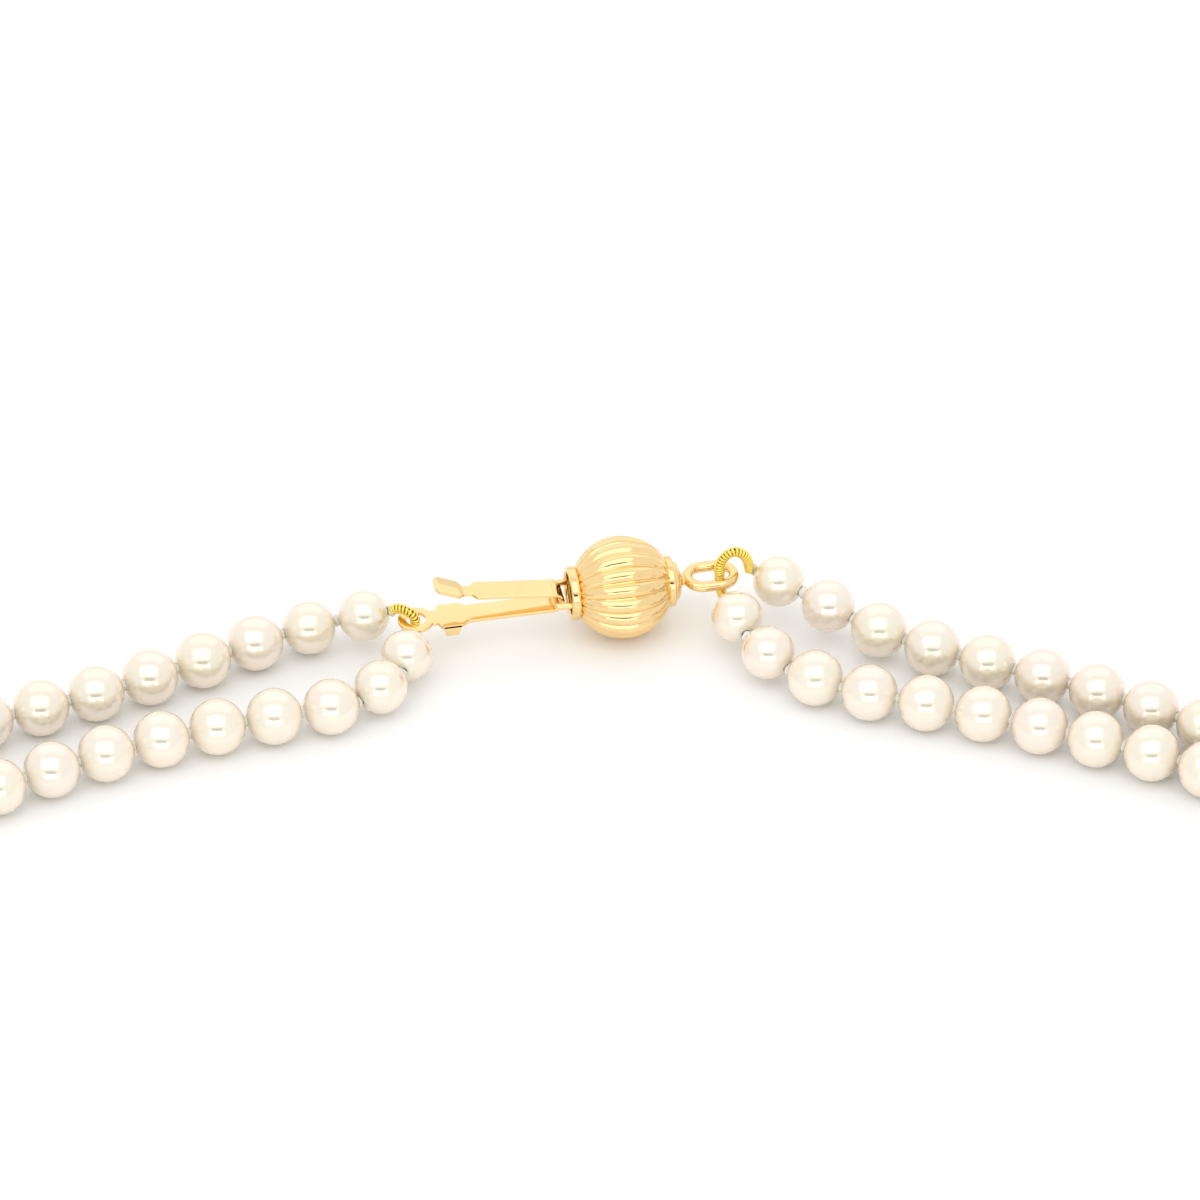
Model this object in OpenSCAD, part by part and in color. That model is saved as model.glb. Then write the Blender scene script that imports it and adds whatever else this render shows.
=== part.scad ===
// Double-strand pearl necklace laid flat, with a fluted ball clasp hooked but not pushed home.
// The origin is on the table under the ball, and +X runs along the clasp from the hook to the ring.

/* [Pearls] */
// Radius of an ordinary pearl
pearl_r = 2.73; // [2.6:0.01:2.74]
// Wanted distance from one knot to the next
knot_pitch = 5.62; // [5.6:0.02:6]
// Radius of the hole drilled through each pearl
hole_r = 0.42; // [0.4:0.01:0.5]
// Radius of the silk thread
thread_r = 0.22; // [0.15:0.01:0.25]
// Radius of a silk knot
knot_r = 0.4; // [0.3:0.01:0.4]

/* [Ball] */
// Outer radius of the ball
ball_r = 5; // [4.8:0.1:5]
// Wall thickness of the ball's two shells
ball_wall = 0.5; // [0.4:0.05:0.6]
// Radius of the round mouth that takes the hook
mouth_r = 2.1; // [2.05:0.05:2.2]
// Outer radius of the collar round the mouth
mouth_collar_r = 2.65; // [2.6:0.05:2.8]
// Outer radius of the collar round the end cap
cap_collar_r = 2.5; // [2.3:0.05:2.5]

/* [Hook] */
// Width of the folded strip
strip_w = 2.4; // [2:0.1:2.4]
// Thickness of the strip
strip_t = 0.35; // [0.3:0.05:0.35]
// Height of each leaf's middle above or below the clasp's axis at the fold
leaf_h = 0.95; // [0.9:0.05:1]
// Angle at which the spring leaf stands open
leaf_open = 6.7; // [6:0.1:7]

/* [Hidden] */
$fn = 48;

// Height of a resting pearl's middle and of the clasp's axis above the table
P = 2.75;
axis_z = ball_r;
// Small changes in pearl size along a strand, and the sizes of special pearls
size_change = 0.01;
size_step = 137;
first_pearl_r = 2.5;
second_pearl_r = 2.6;
flex_pearl_r = 2.55;
// How far the left thread runs into the right-hand pearl at the flex point, and where the right one starts
flex_tail = 1.2;
flex_start = 1.8;
// Spline points from one control point of a strand to the next
spline_steps = 12;
// How far cutting shapes run past what they cut, and joined shapes run into each other
cut = 1;
overlap = 0.1;
// Facets of the ball's outline and of the end cap's
fine_sides = 96;

// Routes of the strands from the clasp to the flex point at the front, both halves of each strand
outer_left_route = [[-22.3, 1.6, 4.3], [-24.9, 2.4, 3.2], [-30.5, 2.6, P], [-41, -0.4, P],
    [-52, -3.4, P], [-63, -5.4, P], [-75, -8.4, P], [-87, -14.6, P], [-97, -24.4, P], [-102, -37, P],
    [-101, -50, P], [-94, -63, P], [-81.5, -75.6, P], [-64, -87, P], [-43, -96, P], [-19, -102, P],
    [6.2, -104.5, P]];
outer_right_route = [[13, 0.3, 4.9], [15.4, -1.8, 4.6], [19.4, -5.2, 3.9], [24, -9.4, 3], [33, -15.2, P],
    [42, -21.2, P], [51, -28.2, P], [61, -37, P], [71.5, -47.4, P], [79, -59, P], [81, -71.5, P],
    [76, -83.4, P], [65, -93.4, P], [49, -100.4, P], [29, -104, P], [6.2, -104.5, P]];
inner_left_route = [[-20.9, -1.7, 3.3], [-21.1, -4.3, 3.9], [-24.9, -8.4, P], [-30.4, -9.6, P],
    [-40, -10.2, P], [-50.5, -11.8, P], [-61, -14.4, P], [-72, -17.8, P], [-83, -23, P], [-90.8, -31, P],
    [-95.6, -40.4, P], [-94.6, -50.8, P], [-88.6, -61, P], [-77.4, -71.4, P], [-61, -81.4, P],
    [-41, -90.2, P], [-18, -96.2, P], [6.2, -98.7, P]];
inner_right_route = [[9.8, -2.6, 4.2], [9.9, -5.4, 4.3], [11.4, -9.4, 3.4], [14.6, -13.2, P], [20, -17, P],
    [30, -22, P], [39.6, -27.6, P], [49.4, -34, P], [57.6, -41.6, P], [66.8, -51, P], [73.4, -60.6, P],
    [75.3, -70.2, P], [71.6, -79.6, P], [62, -88.4, P], [47, -95, P], [28, -98.2, P], [6.2, -98.7, P]];

// Routes of the two gimp coils, each through its ring or eye
gimp_left_route = [[-22.2, 1.5, 4.4], [-21.9, 1.1, 4.9], [-21.3, 0.6, 5.1], [-20.7, 0.2, 4.9],
    [-20.35, 0, 4.4], [-20.3, -0.1, 3.7], [-20.5, -0.7, 3.1], [-20.9, -1.4, 3.15]];
gimp_right_route = [[12.6, 0.2, 5], [12.4, 0.1, 6.2], [11.9, 0, 7.2], [11, 0, 7.7], [10.1, 0, 7.2],
    [9.6, 0, 6.2], [9.6, 0, 5.2], [9.6, -0.1, 4.4], [9.6, -0.7, 3.75], [9.7, -1.6, 3.65], [9.8, -2.4, 4]];
gimp_r = 0.52;
gimp_steps = 3;
// Facets round the swept tubes, and a direction that none of them runs along
gimp_sides = 12;
thread_sides = 8;
sweep_side = [0.11, 1, 0.13];

// Clasp places along its axis, measured from the ball's middle
fold_x = -6.95;
neck_x = -14.85;
tab_x = -15.7;
tab_end_x = -18.7;
shoulder_x = -15.5;
shoulder_end_x = -17.9;
shoulder_w = 3.4;
lip_h = 0.9;
neck_w = 1.3;
tab_w = 2.4;
tab_rise = 18;
eye_x = -20.2;
eye_r = 1.75;
eye_hole_r = 0.95;
hinge_gap = 0.03;
bail_x = -6.7;
bail_y = 1.78;
bail_r = 0.32;
bail_end_x = -4.5;
collar_x0 = -5.3;
collar_x1 = -4.3;
cap_x0 = 4.3;
cap_x1 = 5;
cap_collar_hole_r = 1.9;
peg_r = 0.45;
peg_end_x = 6.1;
ring_r = 0.52;
ring_x = 8.72;
ring_half_l = 2.25;
ring_half_w = 1.5;

// A smooth curve through a list of points
function curve_point(a, b, c, d, t) =
    0.5 * (2 * b + (c - a) * t + (2 * a - 5 * b + 4 * c - d) * t * t + (3 * b - a - 3 * c + d) * t * t * t);
function end_to_end(p) = concat([2 * p[0] - p[1]], p, [2 * p[len(p) - 1] - p[len(p) - 2]]);
function curve(p, steps) = let (e = end_to_end(p))
    concat([for (i = [1 : len(e) - 3], k = [0 : steps - 1])
                curve_point(e[i - 1], e[i], e[i + 1], e[i + 2], k / steps)],
           [p[len(p) - 1]]);
// The first half of a whole strand's curve, so that both halves meet in line at the flex point
function half_curve(half, other) =
    let (whole = curve(concat(half, [for (i = [len(other) - 2 : -1 : 0]) other[i]]), spline_steps))
    [for (i = [0 : (len(half) - 1) * spline_steps]) whole[i]];
function run_lengths(p, i = 0, so_far = 0) = i == len(p) - 1 ? [so_far]
    : concat([so_far], run_lengths(p, i + 1, so_far + norm(p[i + 1] - p[i])));
function at_length(p, run, s) =
    [for (k = [0 : 2]) lookup(s, [for (i = [0 : len(p) - 1]) [run[i], p[i][k]]])];
// Knots at equal distances along a half strand
function knots(half, other) =
    let (p = half_curve(half, other), run = run_lengths(p), total = run[len(run) - 1],
         n = round(total / knot_pitch))
    [for (i = [0 : n]) at_length(p, run, total * i / n)];
function pearl_size(i, n) = i == 0 ? first_pearl_r : i == 1 ? second_pearl_r : i == n - 1 ? flex_pearl_r
    : pearl_r + size_change * sin(size_step * i);

outer_left = knots(outer_left_route, outer_right_route);
outer_right = knots(outer_right_route, outer_left_route);
inner_left = knots(inner_left_route, inner_right_route);
inner_right = knots(inner_right_route, inner_left_route);

// Turns +Z to the direction from a to b, at a
module along(a, b) {
    d = b - a;
    translate(a) rotate([0, acos(d[2] / norm(d)), atan2(d[1], d[0])]) children();
}

module pearl(a, b, r) {
    along((a + b) / 2, b) difference() {
        sphere(r = r);
        translate([0, 0, -r - cut]) cylinder(r = hole_r, h = 2 * (r + cut));
    }
}

module pearls(k, first, last) {
    for (i = [first : last]) pearl(k[i], k[i + 1], pearl_size(i, len(k) - 1));
}

module outer_pearls_left() { color("ivory") pearls(outer_left, 1, len(outer_left) - 2); }
module outer_pearls_right() { color("ivory") pearls(outer_right, 1, len(outer_right) - 2); }
module inner_pearls_left() { color("ivory") pearls(inner_left, 1, len(inner_left) - 2); }
module inner_pearls_right() { color("ivory") pearls(inner_right, 1, len(inner_right) - 2); }
module end_pearls_left() { color("ivory") { pearls(outer_left, 0, 0); pearls(inner_left, 0, 0); } }
module end_pearls_right() { color("ivory") { pearls(outer_right, 0, 0); pearls(inner_right, 0, 0); } }

// A round tube swept along a list of points
function unit(v) = v / norm(v);
function tangent(p, i) = unit(p[min(i + 1, len(p) - 1)] - p[max(i - 1, 0)]);
module tube(p, r, sides) {
    n = len(p);
    rings = [for (i = [0 : n - 1])
        let (t = tangent(p, i), u = unit(cross(t, sweep_side)), v = cross(t, u))
        for (k = [0 : sides - 1]) p[i] + r * (cos(360 * k / sides) * u + sin(360 * k / sides) * v)];
    walls = [for (i = [0 : n - 2], k = [0 : sides - 1], half = [0, 1])
        let (a = i * sides + k, b = i * sides + (k + 1) % sides)
        half == 0 ? [a, a + sides, b] : [b, a + sides, b + sides]];
    caps = [[for (k = [0 : sides - 1]) k], [for (k = [sides - 1 : -1 : 0]) (n - 1) * sides + k]];
    polyhedron(rings, concat(walls, caps), convexity = 10);
}

// The left threads pass the flex point and end inside the first pearl of the right half
function past_flex(left, right) = let (f = left[len(left) - 1])
    concat(left, [f + flex_tail * unit(right[len(right) - 2] - f)]);
// The right threads start inside that pearl
function short_of_flex(right) = let (n = len(right), f = right[n - 1])
    [for (i = [0 : n - 1]) i < n - 1 ? right[i] : f + flex_start * unit(right[n - 2] - f)];

module outer_thread_left() {
    color("white") tube(past_flex(outer_left, outer_right), thread_r, thread_sides);
}
module outer_thread_right() { color("white") tube(short_of_flex(outer_right), thread_r, thread_sides); }
module inner_thread_left() {
    color("white") tube(past_flex(inner_left, inner_right), thread_r, thread_sides);
}
module inner_thread_right() { color("white") tube(short_of_flex(inner_right), thread_r, thread_sides); }

module knot_row(k, last) { for (i = [0 : last]) translate(k[i]) sphere(r = knot_r); }
module knots_left() {
    color("white") {
        knot_row(outer_left, len(outer_left) - 1);
        knot_row(inner_left, len(inner_left) - 1);
    }
}
module knots_right() {
    color("white") {
        knot_row(outer_right, len(outer_right) - 2);
        knot_row(inner_right, len(inner_right) - 2);
    }
}

module gimp_left() { color("goldenrod") tube(curve(gimp_left_route, gimp_steps), gimp_r, gimp_sides); }
module gimp_right() { color("goldenrod") tube(curve(gimp_right_route, gimp_steps), gimp_r, gimp_sides); }

// The clasp's own pieces are drawn about its axis
module on_axis() { translate([0, 0, axis_z]) children(); }
module round_x(x, h, r) { translate([x, 0, 0]) rotate([0, 90, 0]) cylinder(r = r, h = h); }
module strip(x0, x1, w) { translate([x0, -w / 2, -strip_t / 2]) cube([x1 - x0, w, strip_t]); }

// The lower leaf with its eye, its lipped shoulders and the bend up to the spring leaf
module hook_base() {
    bend_r = leaf_h + strip_t / 2;
    color("gold") on_axis() {
        difference() {
            union() {
                translate([0, 0, -leaf_h]) {
                    strip(eye_x, fold_x, strip_w);
                    strip(shoulder_end_x, shoulder_x, shoulder_w);
                    translate([eye_x, 0, -strip_t / 2]) cylinder(r = eye_r, h = strip_t);
                    for (s = [-1, 1])
                        translate([shoulder_end_x, s * (shoulder_w - strip_t) / 2 - strip_t / 2, -lip_h])
                            cube([shoulder_x - shoulder_end_x, strip_t, lip_h]);
                }
                translate([fold_x, strip_w / 2, 0]) rotate([90, 0, 0]) intersection() {
                    difference() {
                        cylinder(r = bend_r, h = strip_w);
                        translate([0, 0, -cut]) cylinder(r = bend_r - strip_t, h = strip_w + 2 * cut);
                    }
                    translate([0, -bend_r - cut, -cut])
                        cube([bend_r + cut, 2 * (bend_r + cut), strip_w + 2 * cut]);
                }
            }
            translate([eye_x, 0, -leaf_h - strip_t]) cylinder(r = eye_hole_r, h = 2 * strip_t);
            translate([fold_x, strip_w, leaf_h]) rotate([90, 0, 0])
                cylinder(r = strip_t / 2 + hinge_gap, h = 2 * strip_w);
        }
    }
}

// The upper leaf turns about its rolled end at the fold, and carries the neck and the thumb tab
module spring_leaf() {
    color("gold") translate([fold_x, 0, axis_z + leaf_h]) rotate([0, leaf_open, 0])
        translate([-fold_x, 0, 0]) {
            strip(neck_x, fold_x, strip_w);
            strip(tab_x, neck_x + overlap, neck_w);
            translate([fold_x, strip_w / 2, 0]) rotate([90, 0, 0]) cylinder(r = strip_t / 2, h = strip_w);
            translate([tab_x, 0, 0]) rotate([0, tab_rise, 0]) translate([-tab_x, 0, 0])
                strip(tab_end_x, tab_x + overlap, tab_w);
        }
}

// One half of the ball's hollow shell: side is -1 for the mouth half and 1 for the cap half
module half_shell(side, hole_radius) {
    color("gold") on_axis() difference() {
        rotate([0, side * 90, 0]) rotate_extrude() intersection() {
            difference() {
                circle(r = ball_r, $fn = fine_sides);
                circle(r = ball_r - ball_wall, $fn = fine_sides);
            }
            square([ball_r + cut, ball_r + cut]);
        }
        round_x(side > 0 ? 0 : -ball_r - cut, ball_r + cut, hole_radius);
    }
}
module ball_mouth_shell() { half_shell(-1, mouth_r); }
module ball_cap_shell() { half_shell(1, peg_r); }

module mouth_collar() {
    color("gold") on_axis() difference() {
        round_x(collar_x0, collar_x1 - collar_x0, mouth_collar_r);
        round_x(collar_x0 - cut, collar_x1 - collar_x0 + 2 * cut, mouth_r);
        sphere(r = ball_r, $fn = fine_sides);
    }
}

module cap_collar() {
    color("gold") on_axis() difference() {
        round_x(cap_x0, cap_x1 - cap_x0, cap_collar_r);
        round_x(cap_x0 - cut, cap_x1 - cap_x0 + 2 * cut, cap_collar_hole_r);
    }
}

// A domed cap with the peg that the ring is soldered to
module end_cap() {
    dome_r = 2;
    dome_h = 0.75;
    color("gold") on_axis() {
        translate([cap_x1, 0, 0]) rotate([0, 90, 0]) rotate_extrude() intersection() {
            translate([0, -(dome_r * dome_r - dome_h * dome_h) / (2 * dome_h)])
                circle(r = (dome_r * dome_r + dome_h * dome_h) / (2 * dome_h), $fn = fine_sides);
            square([dome_r, dome_h + cut]);
        }
        round_x(cap_x1, peg_end_x - cap_x1, peg_r);
    }
}

// A wire loop out of the mouth, with its crossbar inside the fold
module bail_wire() {
    color("gold") on_axis() {
        for (s = [-1, 1]) translate([0, s * bail_y, 0]) round_x(bail_x, bail_end_x - bail_x, bail_r);
        translate([bail_x, bail_y, 0]) rotate([90, 0, 0]) cylinder(r = bail_r, h = 2 * bail_y);
        for (s = [-1, 1]) translate([bail_x, s * bail_y, 0]) sphere(r = bail_r);
    }
}

// An oval wire ring lying flat, made of two half turns and two straights
module ring() {
    straight = 2 * (ring_half_l - ring_half_w);
    color("gold") on_axis() translate([ring_x, 0, 0]) {
        for (s = [0, 180]) rotate([0, 0, s]) {
            translate([straight / 2, 0, 0]) rotate([0, 0, -90]) rotate_extrude(angle = 180)
                translate([ring_half_w, 0]) circle(r = ring_r);
            translate([0, ring_half_w, 0]) round_x(-straight / 2, straight, ring_r);
        }
    }
}

outer_pearls_left();
outer_pearls_right();
inner_pearls_left();
inner_pearls_right();
end_pearls_left();
end_pearls_right();
outer_thread_left();
outer_thread_right();
inner_thread_left();
inner_thread_right();
knots_left();
knots_right();
gimp_left();
gimp_right();
hook_base();
spring_leaf();
ball_mouth_shell();
ball_cap_shell();
mouth_collar();
cap_collar();
end_cap();
bail_wire();
ring();
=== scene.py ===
"""Double-strand pearl necklace with a fluted gold ball clasp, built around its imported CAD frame."""
import math
import random

import bmesh
import bpy
from mathutils import Matrix, Vector


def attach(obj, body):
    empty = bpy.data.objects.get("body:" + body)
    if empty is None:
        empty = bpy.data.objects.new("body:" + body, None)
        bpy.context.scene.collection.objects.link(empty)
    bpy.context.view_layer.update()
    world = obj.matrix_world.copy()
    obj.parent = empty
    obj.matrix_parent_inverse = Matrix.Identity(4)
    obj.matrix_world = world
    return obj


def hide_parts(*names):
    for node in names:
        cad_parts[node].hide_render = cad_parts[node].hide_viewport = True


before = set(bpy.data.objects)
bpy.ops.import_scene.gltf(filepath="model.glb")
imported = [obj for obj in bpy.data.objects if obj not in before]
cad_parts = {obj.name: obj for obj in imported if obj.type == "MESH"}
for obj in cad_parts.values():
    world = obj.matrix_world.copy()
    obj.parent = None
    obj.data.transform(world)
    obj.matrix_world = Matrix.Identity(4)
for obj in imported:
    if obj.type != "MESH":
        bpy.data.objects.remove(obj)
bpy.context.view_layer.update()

MM = 0.001

# ---------------------------------------------------------------- sizes, in millimetres
# Height of the middle of a pearl that rests on the table
P = 2.75
PEARL_R = 2.73
KNOT_PITCH = 5.62
HOLE_R = 0.42
THREAD_R = 0.22
# A knot fills the room between its pearls and bites into both bores; a roomier one is thicker
KNOT_R = 0.55
KNOT_BITE = 0.2
KNOT_SWELL = 0.3
END_KNOT_ROOM = 0.3
LEAST_KNOT_ROOM = 0.05
FLEX_KNOT_R = 0.38
FLEX_KNOT_HALF_L = 0.25
# Pearl sizes along a strand: how much they change and the step, in degrees, from one pearl to the next
SIZE_CHANGE = 0.01
SIZE_STEP = 137
FIRST_PEARL_R = 2.5
SECOND_PEARL_R = 2.6
FLEX_PEARL_R = 2.55
# How far a left thread runs past the flex point, and where the right one starts
FLEX_TAIL = 1.2
FLEX_START = 1.8
SPLINE_STEPS = 12

AXIS_Z = 5.0
BALL_R = 5.0
BALL_WALL = 0.6
MOUTH_R = 2.1
MOUTH_COLLAR_R = 2.65
CAP_COLLAR_R = 2.5
LOBES = 18
LOBE_DEPTH = 0.105
LOBE_PHASE = math.radians(25)
LOBE_SHARPNESS = 0.7

STRIP_W = 2.4
STRIP_T = 0.35
LEAF_H = 0.95
LEAF_OPEN = math.radians(6.7)
TAB_RISE = math.radians(18)
FOLD_X = -6.95
HOOK_END_X = -18.9
NECK_X = -14.85
TAB_X = -15.7
TAB_END_X = -18.7
SHOULDER_X = -15.5
SHOULDER_END_X = -17.9
SHOULDER_W = 3.4
LIP_H = 0.9
NECK_W = 1.3
TAB_W = 2.4
EYE_X = -20.2
EYE_R = 1.75
EYE_HOLE_R = 0.95
BAIL_X = -6.7
BAIL_Y = 1.78
BAIL_R = 0.32
BAIL_END_X = -4.5
PEG_R = 0.45
RING_R = 0.52
RING_X = 8.72
RING_HALF_L = 2.25
RING_HALF_W = 1.5
GIMP_R = 0.52
GIMP_WIRE_R = 0.15
GIMP_PITCH = 0.31

# ---------------------------------------------------------------- routes of the strands and of the gimp coils
OUTER_LEFT = [(-22.3, 1.6, 4.3), (-24.9, 2.4, 3.2), (-30.5, 2.6, P), (-41, -0.4, P), (-52, -3.4, P),
              (-63, -5.4, P), (-75, -8.4, P), (-87, -14.6, P), (-97, -24.4, P), (-102, -37, P),
              (-101, -50, P), (-94, -63, P), (-81.5, -75.6, P), (-64, -87, P), (-43, -96, P),
              (-19, -102, P), (6.2, -104.5, P)]
OUTER_RIGHT = [(13, 0.3, 4.9), (15.4, -1.8, 4.6), (19.4, -5.2, 3.9), (24, -9.4, 3), (33, -15.2, P),
               (42, -21.2, P), (51, -28.2, P), (61, -37, P), (71.5, -47.4, P), (79, -59, P), (81, -71.5, P),
               (76, -83.4, P), (65, -93.4, P), (49, -100.4, P), (29, -104, P), (6.2, -104.5, P)]
INNER_LEFT = [(-20.9, -1.7, 3.3), (-21.1, -4.3, 3.9), (-24.9, -8.4, P), (-30.4, -9.6, P), (-40, -10.2, P),
              (-50.5, -11.8, P), (-61, -14.4, P), (-72, -17.8, P), (-83, -23, P), (-90.8, -31, P),
              (-95.6, -40.4, P), (-94.6, -50.8, P), (-88.6, -61, P), (-77.4, -71.4, P), (-61, -81.4, P),
              (-41, -90.2, P), (-18, -96.2, P), (6.2, -98.7, P)]
INNER_RIGHT = [(9.8, -2.6, 4.2), (9.9, -5.4, 4.3), (11.4, -9.4, 3.4), (14.6, -13.2, P), (20, -17, P),
               (30, -22, P), (39.6, -27.6, P), (49.4, -34, P), (57.6, -41.6, P), (66.8, -51, P),
               (73.4, -60.6, P), (75.3, -70.2, P), (71.6, -79.6, P), (62, -88.4, P), (47, -95, P),
               (28, -98.2, P), (6.2, -98.7, P)]
GIMP_LEFT = [(-22.2, 1.5, 4.4), (-21.9, 1.1, 4.9), (-21.3, 0.6, 5.1), (-20.7, 0.2, 4.9), (-20.35, 0, 4.4),
             (-20.3, -0.1, 3.7), (-20.5, -0.7, 3.1), (-20.9, -1.4, 3.15)]
GIMP_RIGHT = [(12.6, 0.2, 5), (12.4, 0.1, 6.2), (11.9, 0, 7.2), (11, 0, 7.7), (10.1, 0, 7.2), (9.6, 0, 6.2),
              (9.6, 0, 5.2), (9.6, -0.1, 4.4), (9.6, -0.7, 3.75), (9.7, -1.6, 3.65), (9.8, -2.4, 4)]


# ---------------------------------------------------------------- curves
def curve(points, steps):
    """A smooth curve through the points, with steps samples from each one to the next."""
    p = [Vector(q) for q in points]
    e = [2 * p[0] - p[1]] + p + [2 * p[-1] - p[-2]]
    out = []
    for i in range(1, len(e) - 2):
        a, b, c, d = e[i - 1:i + 3]
        for k in range(steps):
            t = k / steps
            out.append(0.5 * (2 * b + (c - a) * t + (2 * a - 5 * b + 4 * c - d) * t * t
                              + (3 * b - a - 3 * c + d) * t ** 3))
    return out + [p[-1]]


def evenly(points, count):
    """count + 1 points at equal distances along a polyline."""
    run = [0.0]
    for a, b in zip(points, points[1:]):
        run.append(run[-1] + (b - a).length)
    out, j = [], 0
    for i in range(count + 1):
        s = run[-1] * i / count
        while j < len(run) - 2 and run[j + 1] < s:
            j += 1
        out.append(points[j].lerp(points[j + 1], (s - run[j]) / (run[j + 1] - run[j])))
    return out


def length(points):
    return sum((b - a).length for a, b in zip(points, points[1:]))


def knots(half, other):
    """Knots at equal distances along one half of a strand, which meets its other half in line."""
    whole = curve(half + other[-2::-1], SPLINE_STEPS)
    part = whole[:(len(half) - 1) * SPLINE_STEPS + 1]
    return evenly(part, round(length(part) / KNOT_PITCH))


def pearl_size(i, count):
    special = {0: FIRST_PEARL_R, 1: SECOND_PEARL_R, count - 1: FLEX_PEARL_R}
    return special.get(i, PEARL_R + SIZE_CHANGE * math.sin(math.radians(SIZE_STEP * i)))


# ---------------------------------------------------------------- mesh builders
class Shape:
    """Vertices in millimetres and faces, gathered before they become one object."""

    def __init__(self):
        self.verts, self.faces, self.tints = [], [], []

    def grid(self, rows, wrap_rows=False, tint=0.5):
        """Joins rows of points, each a closed loop, into a tube with closed ends or a ring of rows."""
        start, n, m = len(self.verts), len(rows), len(rows[0])
        for row in rows:
            self.verts += row
        self.tints += [tint] * (n * m)
        for i in range(n if wrap_rows else n - 1):
            for k in range(m):
                a, b = start + i * m + k, start + i * m + (k + 1) % m
                c, d = start + (i + 1) % n * m + (k + 1) % m, start + (i + 1) % n * m + k
                self.faces.append((a, b, c, d))
        if not wrap_rows:
            self.faces.append(tuple(start + k for k in reversed(range(m))))
            self.faces.append(tuple(start + (n - 1) * m + k for k in range(m)))

    def piece(self, name, body, material, replaces, sharp):
        mesh = bpy.data.meshes.new(name)
        mesh.from_pydata([v * MM for v in self.verts], [], self.faces)
        mesh.validate()
        attribute = mesh.attributes.new("tint", "FLOAT", "POINT")
        attribute.data.foreach_set("value", self.tints)
        fix_normals(mesh)
        mesh.shade_smooth()
        mesh.set_sharp_from_angle(angle=math.radians(sharp))
        mesh.materials.append(material)
        obj = bpy.data.objects.new(name, mesh)
        bpy.context.scene.collection.objects.link(obj)
        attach(obj, body)
        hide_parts(*replaces)


def fix_normals(mesh):
    bm = bmesh.new()
    bm.from_mesh(mesh)
    bmesh.ops.recalc_face_normals(bm, faces=bm.faces)
    bm.to_mesh(mesh)
    bm.free()


# A direction that no tube starts along
SWEEP_SIDE = Vector((0.11, 1, 0.13))


def frames(points):
    """Each point with two cross directions, carried along without twist."""
    out, side = [], None
    for i, p in enumerate(points):
        t = (points[min(i + 1, len(points) - 1)] - points[max(i - 1, 0)]).normalized()
        side = t.cross(SWEEP_SIDE) if side is None else side - t * side.dot(t)
        side.normalize()
        out.append((p, side.copy(), t.cross(side)))
    return out


def tube_rows(points, radius, sides, squash=lambda i, angle: 1.0):
    rows = []
    for i, (p, u, v) in enumerate(frames(points)):
        row = []
        for k in range(sides):
            a = 2 * math.pi * k / sides
            row.append(p + radius * squash(i, a) * (math.cos(a) * u + math.sin(a) * v))
        rows.append(row)
    return rows


def turned(profile, sides, place, shape=lambda x, r, angle: r):
    """Rows of a solid of revolution about X: profile is a list of (distance along, radius)."""
    rows = []
    for x, r in profile:
        row = []
        for k in range(sides):
            a = 2 * math.pi * k / sides
            q = shape(x, r, a)
            row.append(place @ Vector((x, -q * math.cos(a), q * math.sin(a))))
        rows.append(row)
    return rows


def rounded_box_profile(x0, x1, r0, r1, edge, steps=4):
    """A closed rectangle with round corners, as (x, r) points."""
    out = []
    corners = [(x0 + edge, r0 + edge, 180), (x1 - edge, r0 + edge, 270),
               (x1 - edge, r1 - edge, 0), (x0 + edge, r1 - edge, 90)]
    for cx, cr, first in corners:
        for k in range(steps + 1):
            a = math.radians(first + 90 * k / steps)
            out.append((cx + edge * math.cos(a), cr + edge * math.sin(a)))
    return out


ON_AXIS = Matrix.Translation((0, 0, AXIS_Z))


# ---------------------------------------------------------------- materials
def new_material(name, color, **sockets):
    mat = bpy.data.materials.new(name)
    mat.use_nodes = True
    shader = mat.node_tree.nodes["Principled BSDF"]
    shader.inputs["Base Color"].default_value = (*color, 1)
    for key, value in sockets.items():
        shader.inputs[key.replace("_", " ")].default_value = value
    return mat, mat.node_tree.nodes, mat.node_tree.links, shader


def noise(nodes, links, scale, detail, coords=None):
    if coords is None:
        coords = nodes.new("ShaderNodeTexCoord")
    tex = nodes.new("ShaderNodeTexNoise")
    tex.inputs["Scale"].default_value = scale
    tex.inputs["Detail"].default_value = detail
    links.new(coords.outputs["Object"], tex.inputs["Vector"])
    return tex, coords


def ramp(nodes, links, source, stops):
    node = nodes.new("ShaderNodeValToRGB")
    links.new(source, node.inputs["Fac"])
    first, last = node.color_ramp.elements[0], node.color_ramp.elements[1]
    first.position, first.color = stops[0][0], (*stops[0][1], 1)
    last.position, last.color = stops[-1][0], (*stops[-1][1], 1)
    for position, color in stops[1:-1]:
        node.color_ramp.elements.new(position).color = (*color, 1)
    return node


def map_range(nodes, links, source, low, high):
    node = nodes.new("ShaderNodeMapRange")
    node.inputs["To Min"].default_value = low
    node.inputs["To Max"].default_value = high
    links.new(source, node.inputs["Value"])
    return node.outputs["Result"]


def add_bump(nodes, links, shader, height, strength, distance):
    bump = nodes.new("ShaderNodeBump")
    bump.inputs["Strength"].default_value = strength
    bump.inputs["Distance"].default_value = distance
    links.new(height, bump.inputs["Height"])
    links.new(bump.outputs["Normal"], shader.inputs["Normal"])


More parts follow.
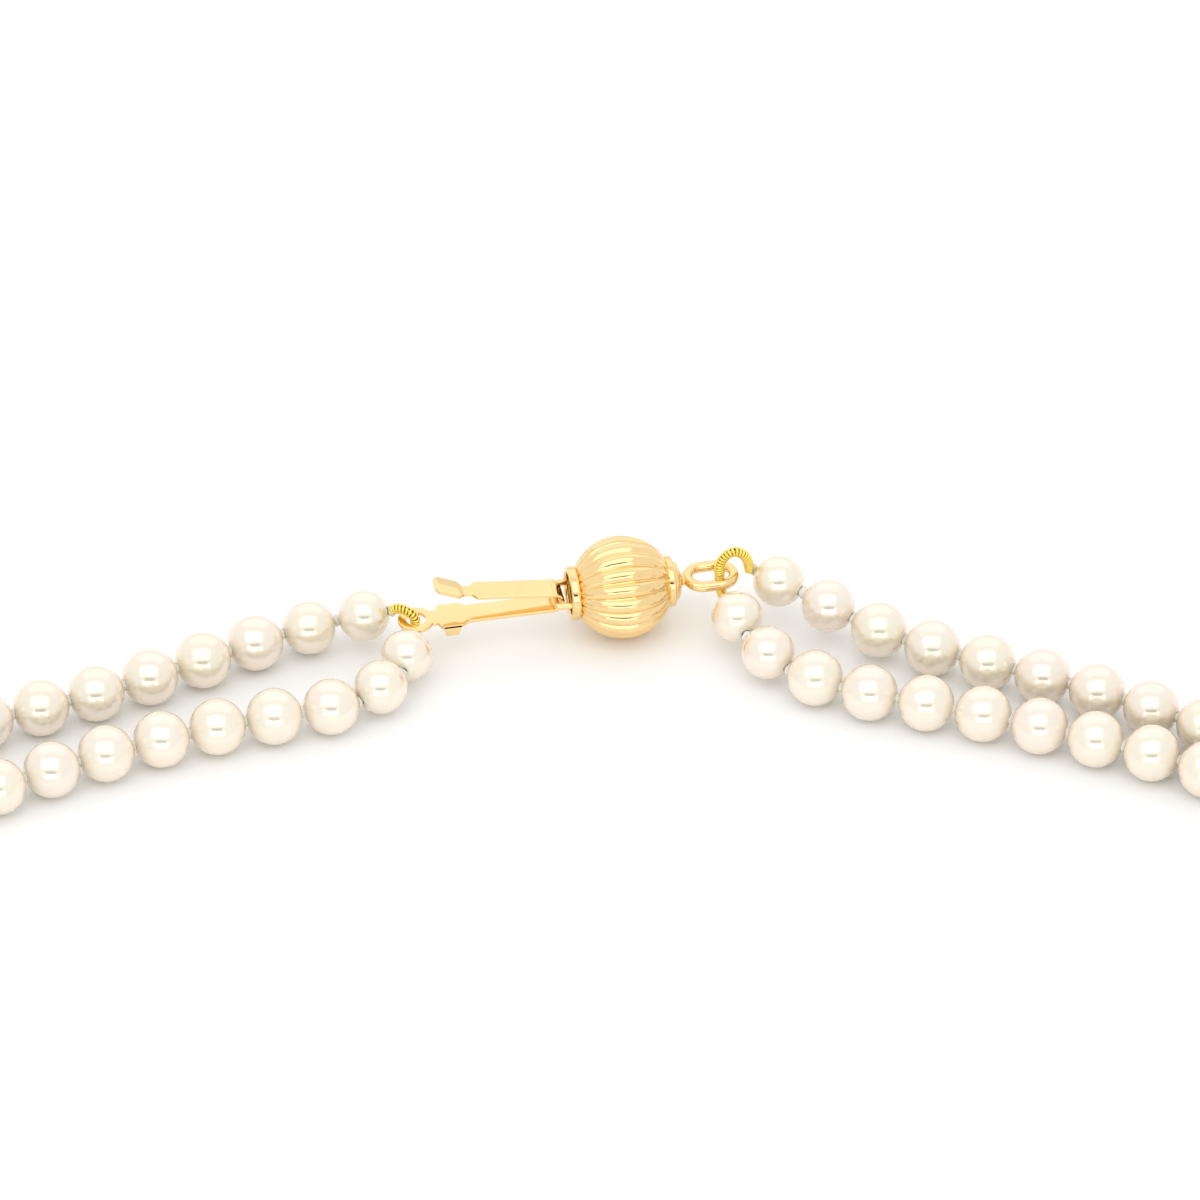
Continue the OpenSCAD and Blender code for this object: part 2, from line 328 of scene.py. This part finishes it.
def pearl_material():
    mat, nodes, links, shader = new_material(
        "nacre", (0.8, 0.74, 0.62), Metallic=0.45, Subsurface_Weight=0.3, Subsurface_Scale=0.0012,
        IOR=1.75, Coat_Weight=1.0, Coat_Roughness=0.03, Coat_IOR=1.6)
    shader.inputs["Subsurface Radius"].default_value = (1.0, 0.75, 0.45)
    shader.inputs["Thin Film Thickness"].default_value = 330
    shader.inputs["Thin Film IOR"].default_value = 1.45
    own = nodes.new("ShaderNodeAttribute")
    own.attribute_name = "tint"
    cloud, coords = noise(nodes, links, 160, 2)
    blend = nodes.new("ShaderNodeMath")
    blend.operation = "MULTIPLY_ADD"
    blend.inputs[1].default_value = 0.45
    links.new(cloud.outputs["Fac"], blend.inputs[0])
    links.new(own.outputs["Fac"], blend.inputs[2])
    color = ramp(nodes, links, blend.outputs["Value"], [
        (0.15, (0.93, 0.8, 0.6)), (0.5, (0.91, 0.84, 0.68)),
        (0.8, (0.92, 0.82, 0.69)), (1.0, (0.87, 0.84, 0.7))])
    links.new(color.outputs["Color"], shader.inputs["Base Color"])
    patches, _ = noise(nodes, links, 420, 3, coords)
    links.new(map_range(nodes, links, patches.outputs["Fac"], 0.14, 0.24), shader.inputs["Roughness"])
    fine, _ = noise(nodes, links, 1500, 4, coords)
    add_bump(nodes, links, shader, fine.outputs["Fac"], 0.12, 0.00002)
    return mat


def gold_material(name, color, low, high, scratch):
    mat, nodes, links, shader = new_material(name, color, Metallic=1.0)
    cloud, coords = noise(nodes, links, 220, 3)
    tone = ramp(nodes, links, cloud.outputs["Fac"], [
        (0.3, tuple(c * 0.95 for c in color)), (0.7, tuple(min(1, c * 1.03) for c in color))])
    links.new(tone.outputs["Color"], shader.inputs["Base Color"])
    wear, _ = noise(nodes, links, 900, 5, coords)
    links.new(map_range(nodes, links, wear.outputs["Fac"], low, high), shader.inputs["Roughness"])
    stretch = nodes.new("ShaderNodeMapping")
    stretch.inputs["Scale"].default_value = (0.15, 1.0, 1.0)
    links.new(coords.outputs["Object"], stretch.inputs["Vector"])
    lines = nodes.new("ShaderNodeTexNoise")
    lines.inputs["Scale"].default_value = 3000
    links.new(stretch.outputs["Vector"], lines.inputs["Vector"])
    add_bump(nodes, links, shader, lines.outputs["Fac"], scratch, 0.00001)
    return mat


def silk_material():
    mat, nodes, links, shader = new_material("silk", (0.92, 0.9, 0.84), Roughness=0.65, Sheen_Weight=0.4)
    coords = nodes.new("ShaderNodeTexCoord")
    fibres = nodes.new("ShaderNodeTexWave")
    fibres.inputs["Scale"].default_value = 2200
    fibres.inputs["Distortion"].default_value = 3
    links.new(coords.outputs["Object"], fibres.inputs["Vector"])
    tone = ramp(nodes, links, fibres.outputs["Fac"], [(0.0, (0.82, 0.79, 0.71)), (1.0, (0.95, 0.93, 0.88))])
    links.new(tone.outputs["Color"], shader.inputs["Base Color"])
    add_bump(nodes, links, shader, fibres.outputs["Fac"], 0.5, 0.00004)
    return mat


NACRE = pearl_material()
GOLD = gold_material("polished_gold", (0.94, 0.69, 0.34), 0.06, 0.14, 0.15)
GIMP_GOLD = gold_material("gimp_gold", (1.0, 0.78, 0.2), 0.1, 0.2, 0.1)
SILK = silk_material()


# ---------------------------------------------------------------- pearls
PEARL_SIDES = 40
PEARL_RINGS = 24
BORE_LIP = 0.1
# The range of one pearl's ripples, as parts of its radius, and of its own tint
RIPPLE = (0.001, 0.004)
TINT = (0.15, 0.65)


def pearl_profile(r):
    """From the bore's middle out over its rounded lip, over the sphere, and back into the bore."""
    mouth = math.asin((HOLE_R + BORE_LIP) / r)
    outside = []
    for k in range(PEARL_RINGS + 1):
        a = mouth + (math.pi - 2 * mouth) * k / PEARL_RINGS
        outside.append((-r * math.cos(a), r * math.sin(a)))
    x_in = outside[0][0] + BORE_LIP * 0.6
    front = [(0.0, HOLE_R), (x_in + BORE_LIP, HOLE_R), (x_in - BORE_LIP * 0.2, HOLE_R + BORE_LIP * 0.25)]
    return front + outside + [(-x, q) for x, q in reversed(front[1:])]


def add_pearl(shape, a, b, r, rng):
    middle, d = (a + b) / 2, (b - a).normalized()
    place = Matrix.Translation(middle) @ d.to_track_quat("X", "Z").to_matrix().to_4x4()
    waves = [(rng.uniform(0, 2 * math.pi), rng.uniform(*RIPPLE)) for _ in range(3)]

    def shape_of(x, q, angle):
        off = sum(h * math.sin((n + 1) * angle + ph + 2 * x / r) for n, (ph, h) in enumerate(waves))
        return q * (1 + off * min(1, q - HOLE_R))

    rows = turned(pearl_profile(r), PEARL_SIDES, place, shape_of)
    shape.grid(rows, wrap_rows=True, tint=rng.uniform(*TINT))


def pearl_node(name, body, runs, seed):
    """One node's pearls: a run is (knots, first pearl, last pearl)."""
    rng = random.Random(seed)
    shape = Shape()
    for k, first, last in runs:
        for i in range(first, last + 1):
            add_pearl(shape, k[i], k[i + 1], pearl_size(i, len(k) - 1), rng)
    shape.piece(name + "_nacre", body, NACRE, [name], sharp=60)


outer_left = knots(OUTER_LEFT, OUTER_RIGHT)
outer_right = knots(OUTER_RIGHT, OUTER_LEFT)
inner_left = knots(INNER_LEFT, INNER_RIGHT)
inner_right = knots(INNER_RIGHT, INNER_LEFT)

pearl_node("outer_pearls_left", "left_half", [(outer_left, 1, len(outer_left) - 2)], 11)
pearl_node("inner_pearls_left", "left_half", [(inner_left, 1, len(inner_left) - 2)], 12)
pearl_node("end_pearls_left", "left_half", [(outer_left, 0, 0), (inner_left, 0, 0)], 13)
pearl_node("outer_pearls_right", "right_half", [(outer_right, 1, len(outer_right) - 2)], 14)
pearl_node("inner_pearls_right", "right_half", [(inner_right, 1, len(inner_right) - 2)], 15)
pearl_node("end_pearls_right", "right_half", [(outer_right, 0, 0), (inner_right, 0, 0)], 16)


# ---------------------------------------------------------------- silk threads and knots
THREAD_SIDES = 12
THREAD_STEPS = 16
THREAD_GROOVE = 0.18
TWIST = 4.5


def thread_node(name, body, points):
    """A thread of two plies twisted together."""
    fine = [a.lerp(b, k / THREAD_STEPS) for a, b in zip(points, points[1:]) for k in range(THREAD_STEPS)]
    fine.append(points[-1])
    run = [0.0]
    for a, b in zip(fine, fine[1:]):
        run.append(run[-1] + (b - a).length)
    shape = Shape()
    shape.grid(tube_rows(fine, THREAD_R, THREAD_SIDES, lambda i, angle:
                         1 - THREAD_GROOVE + THREAD_GROOVE * abs(math.cos(angle - TWIST * run[i]))))
    shape.piece(name + "_silk", body, SILK, [name], sharp=80)


def knot_room(k, i):
    """The space between the pearls on both sides of knot i."""
    count = len(k) - 1
    if i == 0 or i == count:
        return END_KNOT_ROOM
    apart = (k[i + 1] - k[i - 1]).length / 2
    return max(LEAST_KNOT_ROOM, apart - pearl_size(i - 1, count) - pearl_size(i, count))


KNOT_SIDES = 16
KNOT_RINGS = 11
KNOT_RIDGE = 0.1


def knot_profile(half_l, radius):
    """A blunt barrel with small open ends."""
    angles = [math.pi * (k + 0.35) / (KNOT_RINGS - 0.3) for k in range(KNOT_RINGS)]
    return [(-half_l * math.cos(a), radius * math.sin(a) ** 0.7) for a in angles]


def knot_node(name, body, runs, seed):
    """Each knot is a squeezed overhand turn that fills the mouths of the bores beside it."""
    rng = random.Random(seed)
    shape = Shape()
    for k, last in runs:
        for i in range(last + 1):
            d = (k[min(i + 1, len(k) - 1)] - k[max(i - 1, 0)]).normalized()
            place = Matrix.Translation(k[i]) @ d.to_track_quat("X", "Z").to_matrix().to_4x4()
            at_flex = i == len(k) - 1
            half_l = FLEX_KNOT_HALF_L if at_flex else knot_room(k, i) / 2 + KNOT_BITE
            radius = FLEX_KNOT_R if at_flex else KNOT_R + KNOT_SWELL * knot_room(k, i)
            turn = rng.uniform(0, 6.28)

            def wrap(x, q, angle, turn=turn):
                return q * (1 - KNOT_RIDGE + KNOT_RIDGE * math.cos(3 * angle + turn + 9 * x))

            shape.grid(turned(knot_profile(half_l, radius), KNOT_SIDES, place, wrap))
    shape.piece(name + "_silk", body, SILK, [name], sharp=80)


def past_flex(left, right):
    f = left[-1]
    return left + [f + FLEX_TAIL * (right[-2] - f).normalized()]


def short_of_flex(right):
    f = right[-1]
    return right[:-1] + [f + FLEX_START * (right[-2] - f).normalized()]


thread_node("outer_thread_left", "left_half", past_flex(outer_left, outer_right))
thread_node("inner_thread_left", "left_half", past_flex(inner_left, inner_right))
thread_node("outer_thread_right", "right_half", short_of_flex(outer_right))
thread_node("inner_thread_right", "right_half", short_of_flex(inner_right))
knot_node("knots_left", "left_half",
          [(outer_left, len(outer_left) - 1), (inner_left, len(inner_left) - 1)], 21)
knot_node("knots_right", "right_half",
          [(outer_right, len(outer_right) - 2), (inner_right, len(inner_right) - 2)], 22)


# ---------------------------------------------------------------- gimp: a fine wire coil over the thread
WIRE_STEPS = 14
WIRE_SIDES = 6
CORE_STEPS = 60
CORE_SIDES = 12
# The core fills the coil to just under the top of its wire
CORE_R = GIMP_R - 2.2 * GIMP_WIRE_R


def gimp_node(name, body, route):
    core = curve(route, SPLINE_STEPS)
    core = evenly(core, round(length(core) / GIMP_PITCH) * WIRE_STEPS)
    wire = []
    for i, (p, u, v) in enumerate(frames(core)):
        a = 2 * math.pi * i / WIRE_STEPS
        wire.append(p + (GIMP_R - GIMP_WIRE_R) * (math.cos(a) * u + math.sin(a) * v))
    shape = Shape()
    shape.grid(tube_rows(wire, GIMP_WIRE_R, WIRE_SIDES))
    shape.grid(tube_rows(evenly(core, CORE_STEPS), CORE_R, CORE_SIDES))
    shape.piece(name + "_coil", body, GIMP_GOLD, [name], sharp=80)


gimp_node("gimp_left", "left_half", GIMP_LEFT)
gimp_node("gimp_right", "right_half", GIMP_RIGHT)


# ---------------------------------------------------------------- ball
BALL_SIDES = LOBES * 14
BALL_STEPS = 30


def ball_profile(a0, a1):
    """A half shell between two polar angles, outside then inside."""
    angles = [a0 + (a1 - a0) * k / BALL_STEPS for k in range(BALL_STEPS + 1)]
    outer = [(-BALL_R * math.cos(a), BALL_R * math.sin(a)) for a in angles]
    inner_r = BALL_R - BALL_WALL
    return outer + [(-inner_r * math.cos(a), inner_r * math.sin(a)) for a in reversed(angles)]


def lobed(x, r, angle):
    """Rounded lobes with sharp valleys on the outside, fading out towards the inside."""
    distance = math.hypot(x, r)
    crest = abs(math.sin(LOBES * (angle - LOBE_PHASE) / 2))
    fade = min(1.0, max(0.0, (distance - (BALL_R - BALL_WALL)) / BALL_WALL))
    return r * (1 - LOBE_DEPTH * fade * (1 - crest ** LOBE_SHARPNESS))


def ball_node(name, a0, a1):
    shape = Shape()
    shape.grid(turned(ball_profile(a0, a1), BALL_SIDES, ON_AXIS, lobed), wrap_rows=True)
    shape.piece(name + "_fluted", "ball", GOLD, [name], sharp=35)


ball_node("ball_mouth_shell", math.asin((MOUTH_R + 0.02) / BALL_R), math.pi / 2)
ball_node("ball_cap_shell", math.pi / 2, math.pi - math.asin(PEG_R / BALL_R))


def turned_node(name, profile, sides):
    shape = Shape()
    shape.grid(turned(profile, sides, ON_AXIS), wrap_rows=True)
    shape.piece(name + "_turned", "ball", GOLD, [name], sharp=50)


COLLAR_SIDES = 96
COLLAR_EDGE_STEPS = 6
# Each collar's ends along the axis, its bore and outside radii, and its edge rounding
MOUTH_COLLAR = (-5.3, -4.4, MOUTH_R, MOUTH_COLLAR_R, 0.24)
CAP_COLLAR = (4.25, 5.0, 1.85, CAP_COLLAR_R, 0.22)
turned_node("mouth_collar", rounded_box_profile(*MOUTH_COLLAR, COLLAR_EDGE_STEPS), COLLAR_SIDES)
turned_node("cap_collar", rounded_box_profile(*CAP_COLLAR, COLLAR_EDGE_STEPS), COLLAR_SIDES)


def end_cap():
    """A low dome, then a beaded peg that runs to the ring."""
    profile = [(4.9, 0.02), (4.9, 1.95), (5.02, 1.98)]
    profile += [(5.02 + 0.72 * math.sin(math.radians(a)), 0.62 + 1.36 * math.cos(math.radians(a)))
                for a in range(5, 91, 6)]
    profile += [(5.78 + 0.2 * (1 - math.cos(math.radians(a))), 0.42 + 0.16 * math.sin(math.radians(a)))
                for a in range(0, 181, 20)]
    profile += [(6.22, 0.4), (6.3, 0.3), (6.32, 0.02)]
    turned_node("end_cap", profile, 72)


end_cap()


def bail():
    """A wire loop out of the mouth, with round corners."""
    corner = 0.45
    bend_steps = 8
    half = [Vector((BAIL_END_X, BAIL_Y, AXIS_Z)), Vector((BAIL_X + corner, BAIL_Y, AXIS_Z))]
    for k in range(1, bend_steps + 1):
        a = math.radians(90 * k / bend_steps)
        half.append(Vector((BAIL_X + corner * (1 - math.sin(a)),
                            BAIL_Y - corner * (1 - math.cos(a)), AXIS_Z)))
    points = half + [Vector((p.x, -p.y, p.z)) for p in reversed(half)]
    shape = Shape()
    shape.grid(tube_rows(points, BAIL_R, 20))
    shape.piece("bail_wire_bent", "ball", GOLD, ["bail_wire"], sharp=60)


def ring():
    """An oval wire ring lying flat."""
    end_steps, wire_sides = 32, 24
    straight = RING_HALF_L - RING_HALF_W
    above = Vector((0, 0, 1))
    points = []
    for side, turn in ((1, 0), (-1, 180)):
        for k in range(end_steps + 1):
            a = math.radians(-90 + 180 * k / end_steps + turn)
            points.append(Vector((RING_X + side * straight + RING_HALF_W * math.cos(a),
                                  RING_HALF_W * math.sin(a), AXIS_Z)))
    rows = []
    count = len(points)
    for i, p in enumerate(points):
        t = (points[(i + 1) % count] - points[i - 1]).normalized()
        rows.append([p + RING_R * (math.cos(a) * t.cross(above) + math.sin(a) * above)
                     for a in (2 * math.pi * k / wire_sides for k in range(wire_sides))])
    shape = Shape()
    shape.grid(rows, wrap_rows=True)
    shape.piece("ring_wire", "ball", GOLD, ["ring"], sharp=60)


bail()
ring()


# ---------------------------------------------------------------- hook and spring leaf
EDGE = 0.07


def ribbon_rows(stations):
    """Rows of a folded strip with round edges: a station is (middle, up, half width)."""
    rows = []
    for p, up, half in stations:
        loop = rounded_box_profile(-half, half, -STRIP_T / 2, STRIP_T / 2, EDGE, 3)
        rows.append([p + Vector((0, y, 0)) + up * z for y, z in loop])
    return rows


def eased(x, points):
    """Straight runs between (x, value) points, with each step eased."""
    for (x0, v0), (x1, v1) in zip(points, points[1:]):
        if x <= x1:
            t = (x - x0) / (x1 - x0)
            return v0 + (v1 - v0) * t * t * (3 - 2 * t)
    return points[-1][1]


HOOK_STEPS = 120
FOLD_STEPS = 24
FOLD_TURN = 177
LIP_STEPS = 20
LEAF_STEPS = 140
EYE_SIDES = 72
# Where the hook's shoulders are at their full width, and the width of the strip beside the eye
LIP_X0 = SHOULDER_END_X + 0.1
LIP_X1 = SHOULDER_X - 0.5
# How far a lip always reaches below the strip's middle, how far its top lies under the strip's top face,
# and how far the eye stands proud of both faces
LIP_ROOT = 0.15
LIP_SINK = 0.02
EYE_PROUD = 0.01
EYE_NECK_HALF_W = 0.95


def hook():
    """The lower leaf with its eye and lipped shoulders, and the fold up to the spring leaf."""
    up = Vector((0, 0, 1))
    z = AXIS_Z - LEAF_H
    widths = [(HOOK_END_X, EYE_NECK_HALF_W), (HOOK_END_X + 0.6, EYE_NECK_HALF_W), (LIP_X0, SHOULDER_W / 2),
              (LIP_X1, SHOULDER_W / 2), (SHOULDER_X + 0.4, STRIP_W / 2), (FOLD_X, STRIP_W / 2)]
    stations = []
    for k in range(HOOK_STEPS + 1):
        x = HOOK_END_X + (FOLD_X - HOOK_END_X) * k / HOOK_STEPS
        stations.append((Vector((x, 0, z)), up, eased(x, widths)))
    for k in range(1, FOLD_STEPS + 1):
        a = math.radians(-90 + FOLD_TURN * k / FOLD_STEPS)
        out = Vector((math.cos(a), 0, math.sin(a)))
        stations.append((Vector((FOLD_X, 0, AXIS_Z)) + LEAF_H * out, -out, STRIP_W / 2))
    shape = Shape()
    shape.grid(ribbon_rows(stations))
    eye_place = Matrix.Translation((EYE_X, 0, z)) @ Matrix.Rotation(math.radians(-90), 4, "Y")
    eye_half_t = STRIP_T / 2 + EYE_PROUD
    eye = rounded_box_profile(-eye_half_t, eye_half_t, EYE_HOLE_R, EYE_R, EDGE, 3)
    shape.grid(turned(eye, EYE_SIDES, eye_place), wrap_rows=True)
    for side in (-1, 1):
        lip = []
        for k in range(LIP_STEPS + 1):
            x = LIP_X0 + (LIP_X1 - LIP_X0) * k / LIP_STEPS
            low = LIP_H * min(1, 6 * k / LIP_STEPS, 6 * (LIP_STEPS - k) / LIP_STEPS)
            top = STRIP_T / 2 - LIP_SINK
            loop = rounded_box_profile(-STRIP_T / 2, STRIP_T / 2, -LIP_ROOT - low, top, EDGE, 2)
            lip.append([Vector((x, side * (SHOULDER_W - STRIP_T) / 2 + y, z + h)) for y, h in loop])
        shape.grid(lip)
    shape.piece("hook_base_strip", "left_half", GOLD, ["hook_base"], sharp=50)


def leaf():
    """The spring leaf, standing open, with its neck and its raised thumb tab."""
    turn = Matrix.Translation((FOLD_X, 0, AXIS_Z + LEAF_H)) @ Matrix.Rotation(LEAF_OPEN, 4, "Y")
    tab = Matrix.Translation((TAB_X - FOLD_X, 0, 0)) @ Matrix.Rotation(TAB_RISE, 4, "Y")
    widths = [(TAB_END_X, 0.75), (TAB_END_X + 0.35, TAB_W / 2), (TAB_X - 0.6, TAB_W / 2),
              (TAB_X + 0.15, NECK_W / 2), (NECK_X - 0.1, NECK_W / 2), (NECK_X + 0.55, STRIP_W / 2),
              (FOLD_X, STRIP_W / 2)]
    stations = []
    for k in range(LEAF_STEPS + 1):
        x = TAB_END_X + (FOLD_X - TAB_END_X) * k / LEAF_STEPS
        if x < TAB_X:
            p, up = tab @ Vector((x - TAB_X, 0, 0)), tab.to_3x3() @ Vector((0, 0, 1))
        else:
            p, up = Vector((x - FOLD_X, 0, 0)), Vector((0, 0, 1))
        stations.append((turn @ p, turn.to_3x3() @ up, eased(x, widths)))
    shape = Shape()
    shape.grid(ribbon_rows(stations))
    shape.piece("spring_leaf_strip", "leaf", GOLD, ["spring_leaf"], sharp=50)


hook()
leaf()


# ---------------------------------------------------------------- floor, light and camera
def stage_material(name, color):
    """Matt paper with a very slight grain."""
    mat, nodes, links, shader = new_material(name, color, Roughness=0.9)
    grain, _ = noise(nodes, links, 40, 2)
    tone = ramp(nodes, links, grain.outputs["Fac"], [(0.3, tuple(c * 0.995 for c in color)), (0.7, color)])
    links.new(tone.outputs["Color"], shader.inputs["Base Color"])
    return mat


def plane(name, corners, material):
    mesh = bpy.data.meshes.new(name)
    mesh.from_pydata(corners, [], [(0, 1, 2, 3)])
    mesh.materials.append(material)
    obj = bpy.data.objects.new(name, mesh)
    bpy.context.scene.collection.objects.link(obj)


FLOOR = 3.0
plane("floor", [(-FLOOR, -FLOOR, 0), (FLOOR, -FLOOR, 0), (FLOOR, FLOOR, 0), (-FLOOR, FLOOR, 0)],
      stage_material("white_paper", (0.96, 0.96, 0.96)))

VIEW_AZIMUTH = math.radians(11)
VIEW_ELEVATION = math.radians(40)
VIEW_WIDTH = 0.1158
LENS = 300
SENSOR = 36
AIM_RIGHT = -0.00212
AIM_UP = -0.00125

flat = Vector((math.sin(VIEW_AZIMUTH), math.cos(VIEW_AZIMUTH), 0))
right = Vector((math.cos(VIEW_AZIMUTH), -math.sin(VIEW_AZIMUTH), 0))
look = flat * math.cos(VIEW_ELEVATION) - Vector((0, 0, math.sin(VIEW_ELEVATION)))
upward = right.cross(look)


def area_light(name, direction, distance, size, power):
    """A soft box that faces the necklace, with its width level and across the view."""
    lamp = bpy.data.lights.new(name, "AREA")
    lamp.shape = "RECTANGLE"
    lamp.size, lamp.size_y = size
    lamp.energy = power
    obj = bpy.data.objects.new(name, lamp)
    back = direction.normalized()
    across = (right - back * right.dot(back)).normalized()
    obj.matrix_world = Matrix.Translation(back * distance) @ Matrix(
        (across, back.cross(across), back)).transposed().to_4x4()
    bpy.context.scene.collection.objects.link(obj)


UP = Vector((0, 0, 1))
area_light("key", UP * 1.0 - flat * 0.45 - right * 0.1, 0.75, (1.0, 0.62), 1.3)
area_light("front_low", UP * 0.3 - flat * 1.1, 1.13, (1.3, 0.5), 1.7)
area_light("back", UP * 0.9 + flat * 0.9, 1.3, (1.9, 1.2), 1.8)

# A dark card lower than the camera gives the pearls and the gold their thin dark lines
CARD_DISTANCE = 1.1
CARD_ELEVATION = math.radians(30)
CARD_HALF_WIDTH = 0.42
CARD_HALF_HEIGHT = 0.1
card_middle = CARD_DISTANCE * (UP * math.sin(CARD_ELEVATION) - flat * math.cos(CARD_ELEVATION))
card_up = UP * math.cos(CARD_ELEVATION) + flat * math.sin(CARD_ELEVATION)
plane("dark_card", [card_middle + right * x * CARD_HALF_WIDTH + card_up * y * CARD_HALF_HEIGHT
                    for x, y in ((-1, -1), (1, -1), (1, 1), (-1, 1))],
      stage_material("grey_card", (0.03, 0.03, 0.03)))

world = bpy.data.worlds.new("studio")
bpy.context.scene.world = world
world.use_nodes = True
world.node_tree.nodes["Background"].inputs["Color"].default_value = (1, 1, 1, 1)
world.node_tree.nodes["Background"].inputs["Strength"].default_value = 0.98

camera = bpy.data.objects.new("camera", bpy.data.cameras.new("camera"))
camera.data.lens = LENS
camera.data.sensor_width = SENSOR
camera.data.clip_start = 0.01
target = Vector((0, 0, AXIS_Z * MM)) + right * AIM_RIGHT + upward * AIM_UP
camera.location = target - look * (VIEW_WIDTH * LENS / SENSOR)
camera.rotation_euler = look.to_track_quat("-Z", "Y").to_euler()
bpy.context.scene.collection.objects.link(camera)
bpy.context.scene.camera = camera
bpy.context.scene.view_settings.view_transform = "Standard"
